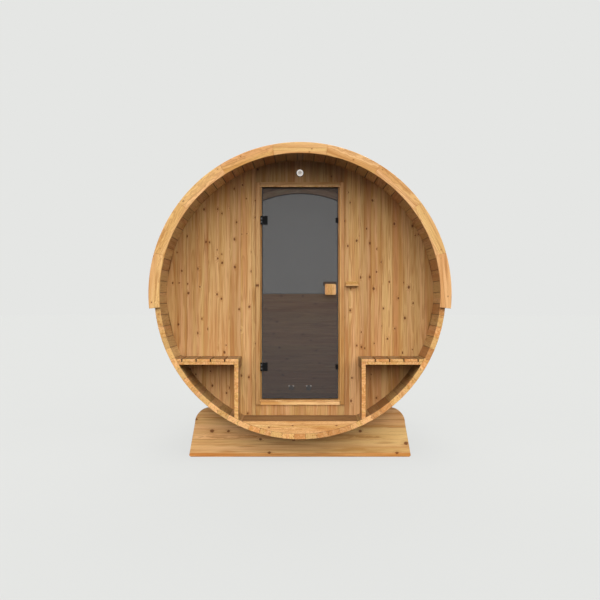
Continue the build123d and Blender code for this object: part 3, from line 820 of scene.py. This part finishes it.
def screwTree():
    # A domed head with a socket, set on every point and turned to face outwards
    do, come = newTree("screwHeads", {"Sides": "Int", "Radius": "Float", "Rise": "Float", "Socket": "Float"})
    head = do.geo("MeshCircle", {"Vertices": come["Sides"], "Radius": come["Radius"]}, fill_type="NGON")
    top = True
    # side of the head, its rounded shoulder, the rim of the socket, and the socket's floor
    for rise, size in ((0.5, 1.0), (0.5, 0.8), (0.0, come["Socket"]), (-0.8, 1.0)):
        raised = {"Mesh": head, "Selection": top, "Offset Scale": do.times(come["Rise"], rise)}
        grown = do.put("GeometryNodeExtrudeMesh", raised, mode="FACES").outputs
        top = grown["Top"]
        head = do.geo("ScaleElements", {"Geometry": grown["Mesh"], "Selection": top, "Scale": size})
    turn = do.put("FunctionNodeAlignRotationToVector", {"Vector": do.named("facing")}, axis="Z").outputs[0]
    laid = {"Points": come["Geometry"], "Instance": head, "Rotation": turn}
    return endTree(do, do.geo("InstanceOnPoints", laid), come["Finish"])


def sealTree():
    # A rounded rubber strip that follows a path lying in the plane of a wall
    do, come = newTree("rubberSeal", {"Width": "Float", "Depth": "Float", "Corner": "Float"})
    path = do.geo("MeshToCurve", {"Mesh": come["Geometry"]})
    path = do.geo("SetCurveNormal", {"Curve": path, "Normal": (0.0, 1.0, 0.0)}, mode="FREE")
    size = {"Width": come["Depth"], "Height": come["Width"]}
    section = do.geo("CurvePrimitiveQuadrilateral", size, mode="RECTANGLE")
    rounded = {"Curve": section, "Radius": come["Corner"], "Limit Radius": True, "Count": 3}
    section = do.geo("FilletCurve", rounded, mode="POLY")
    strip = do.geo("CurveToMesh", {"Curve": path, "Profile Curve": section, "Fill Caps": True})
    return endTree(do, strip, come["Finish"])


screwHeads = screwTree()
rubberSeal = sealTree()


def lathe(work, profile, centre, axis, sides=48, index=0):
    # Turns a profile of (radius, height) pairs round an axis through a centre
    turn = Vector((0, 0, 1)).rotation_difference(Vector(axis)).to_matrix()
    rings = []
    for radius, height in profile:
        if radius < 0.00001:
            rings.append([work.verts.new(Vector(centre) + turn @ Vector((0, 0, height)))])
            continue
        ring = []
        for step in range(sides):
            angle = 2 * math.pi * step / sides
            spot = Vector((radius * math.cos(angle), radius * math.sin(angle), height))
            ring.append(work.verts.new(Vector(centre) + turn @ spot))
        rings.append(ring)
    for low, high in zip(rings, rings[1:]):
        for step in range(sides):
            after = (step + 1) % sides
            # a ring of one point closes the shape with triangles
            corners = [low[step % len(low)], low[after % len(low)]]
            corners += [high[after % len(high)], high[step % len(high)]]
            face = work.faces.new(list(dict.fromkeys(corners)))
            face.material_index = index
            face.smooth = True


outOfWall = (0, -1, 0)  # which way the lamp and the vents face


def sized(profile, radius, depth):
    # A profile given in shares of a radius and of a depth
    return [(share * radius, height * depth) for share, height in profile]


def turnedMesh(work, name, sharp=35.0):
    bmesh.ops.recalc_face_normals(work, faces=work.faces)
    mesh = toMesh(work, name)
    mesh.set_sharp_from_angle(angle=math.radians(sharp))
    return mesh


def makeGlass():
    # Both panes have a dark rim, a painted shadow along their edges, but for the top of the door's, and
    # narrow sides of their own colour
    panes = {"doorRim": 0.006, "windowRim": 0.004, "ease": 0.0010, "leastPane": 0.1}
    for name, node, body, finish, width in (
        ("doorGlass", "door_glass", "door", "glass", panes["doorRim"]),
        ("windowGlass", "back_window_glass", "hut", "window", panes["windowRim"]),
    ):
        work = mergedCopy(node)
        easeEdges(work, panes["ease"], 1)
        broad = [
            face for face in work.faces
            if abs(face.normal.y) > 0.95 and face.calc_area() > panes["leastPane"]
        ]
        paint(work, lambda face: face not in broad)
        border = bmesh.ops.inset_region(work, faces=broad, thickness=width, use_even_offset=True)
        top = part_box(node)[1].z - width
        for face in border["faces"]:
            face.material_index = 0 if face.calc_center_median().z > top and body == "door" else 2
        looks = [finish, "glassEdge", "glassRimShadow"]
        settle(name, toMesh(work, name), body, looks, [node])


makeGlass()


def makeSeals():
    # A rubber seal round the rear window's arch, and a brown one between the door glass and the door head,
    # which is also a painted shadow under the door head
    seals = {
        "windowSeal": {"Width": 0.008, "Depth": 0.013, "Corner": 0.002, "Finish": finishes["rubber"]},
        "headSeal": {"Width": 0.0105, "Depth": 0.003, "Corner": 0.0012, "Finish": finishes["brownSealShadow"]},
        "behindGlass": 0.005, "steps": 96,
    }
    low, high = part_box("back_window_glass")
    inner = high.x - seals["windowSeal"]["Width"] / 2
    start = math.asin((low.z - axisHeight) / inner)
    arch = []
    for step in range(seals["steps"] + 1):
        angle = start + (math.pi - 2 * start) * step / seals["steps"]
        arch.append((inner * math.cos(angle), (low.y + high.y) / 2, axisHeight + inner * math.sin(angle)))
    low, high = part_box("door_glass")
    level = (high.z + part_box("door_head")[1].z - doorFrame["wide"]) / 2
    ahead = high.y + seals["behindGlass"] - seals["headSeal"]["Depth"] / 2
    for name, points in (
        ("windowSeal", arch),
        ("headSeal", [(low.x, ahead, level), (high.x, ahead, level)]),
    ):
        settle(name, grow(name, rubberSeal, seals[name], points), "hut")


makeSeals()


def makeFrameBead():
    # A bead all round the door opening, on the face of the frame, drawn lighter as a painted highlight, but
    # for its left side, which is drawn darker as painted shade
    bead = {"width": 0.0095, "proud": 0.0030, "round": 0.0014, "board": 0.37}
    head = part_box("door_head")
    wide = bead["width"]
    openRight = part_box("door_stile_right")[1].x - doorFrame["wide"]
    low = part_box("door_threshold")[0].z + doorFrame["wide"]
    high = head[1].z - doorFrame["wide"]
    back = head[0].y
    front = back - bead["proud"]
    corners = ((-openRight, low), (openRight, low), (openRight, high), (-openRight, high))
    work = bmesh.new()
    loops = []
    for out, y in ((0.0, back), (0.0, front), (wide, front), (wide, back)):
        loop = [
            work.verts.new((x + math.copysign(out, x), y, z + (out if z == high else -out)))
            for x, z in corners
        ]
        loops.append(loop)
    for first, second in zip(loops, loops[1:] + loops[:1]):
        for step in range(len(corners)):
            after = (step + 1) % len(corners)
            work.faces.new((first[step], first[after], second[after], second[step]))
    bmesh.ops.recalc_face_normals(work, faces=work.faces)
    easeEdges(work, bead["round"])
    paint(work, lambda face: face.calc_center_median().x < wide / 2 - openRight)
    seamAndShadeLayer = work.faces.layers.float["seam"]
    grainLayer = work.verts.layers.float_vector.new("grain")
    boardLayer = work.verts.layers.float.new("board")
    for face in work.faces:
        face[seamAndShadeLayer] = 0.0
    for vert in work.verts:
        vert[grainLayer] = tuple(vert.co)
        vert[boardLayer] = bead["board"]
    settle("frameBead", toMesh(work, "frameBead"), "hut", ["bead", "shadedStile"])


makeFrameBead()
print("glass, seals and bead made")


def makeMetal():
    metal = {"ease": 0.0006, "clampPlate": 0.0385}
    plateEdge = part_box("door_hinge_clamps")[1].x - metal["clampPlate"]
    for name, node, body, looks, slotName in (
        ("frontHoop", "front_hoop", "hut", ["steel"], "hoop_steel"),
        ("rearHoop", "rear_hoop", "hut", ["steel"], "hoop_steel"),
        ("hingeLeaves", "hinge_frame_leaves", "hut", ["black"], "black_metal"),
        ("hingeClamps", "door_hinge_clamps", "door", ["black", "pin"], "black_metal"),
        ("latchPlates", "door_latch_plates", "door", ["black"], "black_metal"),
    ):
        work = mergedCopy(node)
        easeEdges(work, metal["ease"])
        paint(work, lambda face: len(looks) > 1 and face.calc_center_median().x < plateEdge)
        settle(name, toMesh(work, name), body, looks, [node])


makeMetal()


def makeHoopBolts():
    # One bolt draws the ends of each hoop together through its two lugs
    bolt = {
        "rod": 0.004, "head": 0.0068, "headDepth": 0.0055, "washer": 0.0085, "washerDepth": 0.0016,
        "past": 0.012, "drop": 0.0100, "chamfer": 0.001, "headChamfer": 0.0012, "washerChamfer": 0.0004,
        "lugEnd": 0.002,  # how far in from the outermost point a lug's end is looked for
    }
    rod, head, deep, wide = bolt["rod"], bolt["head"], bolt["headDepth"], bolt["washer"]
    flat, chamfer, bevel = bolt["washerDepth"], bolt["chamfer"], bolt["washerChamfer"]
    top, shoulder = deep + chamfer, head - bolt["headChamfer"]
    for name, node in (("frontHoopBolt", "front_hoop"), ("rearHoopBolt", "rear_hoop")):
        spots = {tuple(round(part, 4) for part in vert.co) for vert in frame["nodes"][node].data.vertices}
        reach = max(math.hypot(x, z - axisHeight) for x, y, z in spots)
        # the corners of the lugs' outer ends, from one lug to the other
        nearest = reach - bolt["lugEnd"]
        lugs = [Vector(spot) for spot in spots if math.hypot(spot[0], spot[2] - axisHeight) > nearest]
        lugs.sort(key=lambda spot: math.atan2(spot.x, spot.z - axisHeight))
        half = len(lugs) // 2
        first, second = (sum(group, Vector()) / half for group in (lugs[:half], lugs[half:]))
        along = (second - first).normalized()
        thick = max(abs((spot - first).dot(along)) for spot in lugs[:half])
        inward = (Vector((0, (first.y + second.y) / 2, axisHeight)) - (first + second) / 2).normalized()
        start = first + inward * bolt["drop"] - along * thick
        end = second + inward * bolt["drop"] + along * thick
        length = (end - start).length + bolt["past"]
        work = bmesh.new()
        shank = [(0, 0), (rod, 0), (rod, length - chamfer), (rod - chamfer, length), (0, length)]
        lathe(work, shank, start, along, 16)
        washer = [(0, 0), (wide, 0), (wide, flat - bevel), (wide - bevel, flat), (0, flat)]
        nut = [(0, flat), (head, flat), (head, deep), (shoulder, top), (0, top)]
        for spot, way in ((start, -along), (end, along)):
            lathe(work, washer, spot, way, 24)
            lathe(work, nut, spot, way, 6)
        settle(name, turnedMesh(work, name, 30.0), "hut", ["screw"])


makeHoopBolts()


def makeLamp():
    # A round bulkhead lamp: a dark gasket on the wall, which is also a painted shadow round the lamp, a
    # rounded white rim, a groove, and a slightly domed frosted lens. Each profile is in shares of a radius
    # and of a depth
    lamp = {
        "rimSize": 0.87,
        "gasket": ((0, 0), (1, 0), (1, 0.14), (0.98, 0.2), (0, 0.2)),
        "rim": ((0, 0.2), (1, 0.2), (1, 0.6), (0.975, 0.78), (0.9, 0.92), (0.8, 1), (0.66, 1), (0.6, 0.95)),
        "groove": ((1.06, 0.9), (1.05, 0.75), (0, 0.75)),
        "lensSide": ((0, 0.76), (1, 0.76)),
        "lens": ((1, 0.9), (0.93, 0.96), (0.75, 0.985), (0.4, 0.997), (0, 1)),
    }
    low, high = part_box("porch_light_housing")
    centre = ((low.x + high.x) / 2, high.y, (low.z + high.z) / 2)
    outer = (high.x - low.x) / 2
    deep = high.y - low.y
    lensLow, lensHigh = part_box("porch_light_lens")
    lens = (lensHigh.x - lensLow.x) / 2
    work = bmesh.new()
    lathe(work, sized(lamp["gasket"], outer, deep), centre, outOfWall, 64, 1)
    rim = sized(lamp["rim"], outer * lamp["rimSize"], deep) + sized(lamp["groove"], lens, deep)
    lathe(work, rim, centre, outOfWall, 64)
    mesh = turnedMesh(work, "lampHousing")
    settle("lampHousing", mesh, "hut", ["white", "brownSealShadow"], ["porch_light_housing"])
    work = bmesh.new()
    dome = sized(lamp["lensSide"], lens, deep) + sized(lamp["lens"], lens, high.y - lensLow.y)
    lathe(work, dome, centre, outOfWall, 48)
    settle("lampLens", turnedMesh(work, "lampLens"), "hut", ["lens"], ["porch_light_lens"])


makeLamp()


def makeVents():
    # Each low vent is a shallow dome with a screw at its upper left and upper right, whose pale glowing
    # finish is a painted glint
    vent = {
        "radius": 0.0232, "drop": 0.0035, "ear": 0.0074, "earOut": 0.0192, "earUp": 0.0135,
        "dome": (
            (0, 0), (1, 0), (1, 0.35), (0.93, 0.6), (0.7, 0.82), (0.52, 0.86), (0.48, 0.8), (0.3, 0.92),
            (0, 0.96),
        ),
        "knob": ((0, 0), (1, 0), (1, 0.5), (0.8, 0.68), (0.4, 0.76), (0, 0.78)),
    }
    low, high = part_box("low_vents")
    outer = (high.z - low.z) / 2
    level = (low.z + high.z) / 2
    thick = high.y - low.y
    work = bmesh.new()
    for x in (low.x + outer, high.x - outer):
        centre = Vector((x, high.y, level - vent["drop"]))
        lathe(work, sized(vent["dome"], vent["radius"], thick), centre, outOfWall, 32)
        for side in (-1, 1):
            ear = centre + Vector((side * vent["earOut"], 0, vent["drop"] + vent["earUp"]))
            lathe(work, sized(vent["knob"], vent["ear"], thick), ear, outOfWall, 16, 1)
    mesh = turnedMesh(work, "lowVents")
    settle("lowVents", mesh, "hut", ["vent", "ventScrewGlint"], ["low_vents"])


makeVents()
print("hoops, hinges, lamp and vents made")


def makeScrews():
    screws = {"Sides": 10, "Radius": 0.0042, "Rise": 0.0012, "Socket": 0.5, "Finish": finishes["screw"]}
    places = {
        "ribs": (-0.9225, 0.0, 0.9225), "besideMiddle": 0.024,  # on the roof boards
        "fromFrameEnd": 0.0225, "fromSlatEdge": 0.02, "wideSlat": 0.06,  # on the benches
        "sunk": 0.0002,
    }
    points, facings = [], []
    # two through each roof board into each rib
    boards = mergedCopy("roof_boards")
    for group in islands(boards):
        middle = centreOf(group)
        outward, across = roundabout(middle)
        top = max((vert.co - middle).dot(outward) for vert in group) - places["sunk"]
        for y in places["ribs"]:
            for side in (-places["besideMiddle"], places["besideMiddle"]):
                points.append(Vector((middle.x, y, middle.z)) + across * side + outward * top)
                facings.append(outward)
    boards.free()
    # two through each bench slat into each rail, and one where the slat is narrow
    inset = places["fromSlatEdge"]
    for side in ("left", "right"):
        slats = mergedCopy(side + "_bench_slats")
        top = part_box(side + "_bench_slats")[1].z - places["sunk"]
        front, back = (corner.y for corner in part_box(side + "_bench_frame"))
        for group in islands(slats):
            low = min(vert.co.x for vert in group)
            high = max(vert.co.x for vert in group)
            spots = (low + inset, high - inset) if high - low > places["wideSlat"] else ((low + high) / 2,)
            for y in (front + places["fromFrameEnd"], back - places["fromFrameEnd"]):
                for x in spots:
                    points.append(Vector((x, y, top)))
                    facings.append(Vector((0, 0, 1)))
        slats.free()
    mesh = grow("boardScrews", screwHeads, screws, points, facings)
    settle("boardScrews", mesh, "hut")
    print("screws set:", len(points))


makeScrews()


def addLight(name, kind, turn, **settings):
    light = bpy.data.lights.new(name, kind)
    for key, value in settings.items():
        setattr(light, key, value)
    lamp = addObject(name, light)
    lamp.rotation_euler = turn
    lamp.visible_glossy = False
    return lamp


def makeStudio():
    studio = {
        "backdrop": (0.784, 0.791, 0.776), "shine": 0.5, "ambient": 0.02,
        "floorRadius": 60.0, "floorGlow": 0.872,
        "floorDark": (0.065, 0.066, 0.063), "floorPale": (0.07, 0.071, 0.068),
        "room": (6.6, 0.9, 0.5),  # strength, width and height of the light inside
    }
    suns = {  # strength, elevation, azimuth (0 stands in front of the door and turns towards +X), spread
        "front": (3.0, 36.0, 3.0, 66.0),
        "left": (0.85, 22.0, -62.0, 54.0),
        "right": (1.0, 22.0, 62.0, 54.0),
        "top": (1.2, 90.0, 0.0, 24.0),
        "rear": (2.5, 30.0, 180.0, 50.0),
    }
    scene = bpy.context.scene
    scene.view_settings.view_transform = "Standard"
    world = bpy.data.worlds.new("studio")
    scene.world = world
    world.use_nodes = True
    world.node_tree.nodes.clear()
    do = NodeMaker(world.node_tree)
    # the backdrop is bright to look at and in reflections, and gives the wood only a little light
    rays = do.put("ShaderNodeLightPath").outputs
    shine = do.timesPlus(rays["Is Glossy Ray"], studio["shine"] - studio["ambient"], studio["ambient"])
    seen = do.put("ShaderNodeBackground", {"Color": studio["backdrop"], "Strength": 1.0}).outputs[0]
    lit = do.put("ShaderNodeBackground", {"Color": (1.0, 1.0, 1.0), "Strength": shine}).outputs[0]
    mixed = do.put("ShaderNodeMixShader", {0: rays["Is Camera Ray"], 1: lit, 2: seen}).outputs[0]
    do.put("ShaderNodeOutputWorld", {"Surface": mixed})
    for name, (strength, elevation, azimuth, spread) in suns.items():
        rise, side = math.radians(elevation), math.radians(azimuth)
        towards = Vector((math.sin(side) * math.cos(rise), -math.cos(side) * math.cos(rise), math.sin(rise)))
        turn = towards.to_track_quat("Z", "Y").to_euler()
        addLight(name + "Light", "SUN", turn, energy=strength, angle=math.radians(spread))
    # a soft light inside, turned to the back wall, seen only by what it lights
    strength, width, height = studio["room"]
    size = {"shape": "RECTANGLE", "size": width, "size_y": height}
    lamp = addLight("roomLight", "AREA", (math.radians(90), 0.0, 0.0), energy=strength, **size)
    lamp.location = (0.0, -wallRadius * 0.4, axisHeight + wallRadius * 0.5)
    lamp.visible_camera = False
    # plain pale floor
    work = bmesh.new()
    bmesh.ops.create_circle(work, cap_ends=True, segments=96, radius=studio["floorRadius"])
    mesh = toMesh(work, "studioFloor")
    floor = addObject("studioFloor", mesh)
    ownLight = {"Emission Color": studio["backdrop"], "Emission Strength": studio["floorGlow"]}
    matt = {"Roughness": 0.9, "Specular IOR Level": 0.0}
    material, do, shader = newMaterial("studioFloor", **ownLight, **matt)
    colour = do.blend(do.noise(do.place(), 2.0, 1.5), studio["floorDark"], studio["floorPale"])
    do.tree.links.new(colour, shader.inputs["Base Color"])
    mesh.materials.append(material)
    floor.visible_diffuse = False


makeStudio()


def makeCamera():
    view = {"distance": 6.854, "height": 1.1545, "lens": 50.0, "sensor": 36.0, "sees": 300.0}
    data = bpy.data.cameras.new("camera")
    data.lens = view["lens"]
    data.sensor_width = view["sensor"]
    data.clip_end = view["sees"]
    camera = addObject("camera", data)
    camera.location = (0.0, -view["distance"], view["height"])
    camera.rotation_euler = (math.radians(90), 0.0, 0.0)
    bpy.context.scene.camera = camera


makeCamera()
print("studio and camera set")
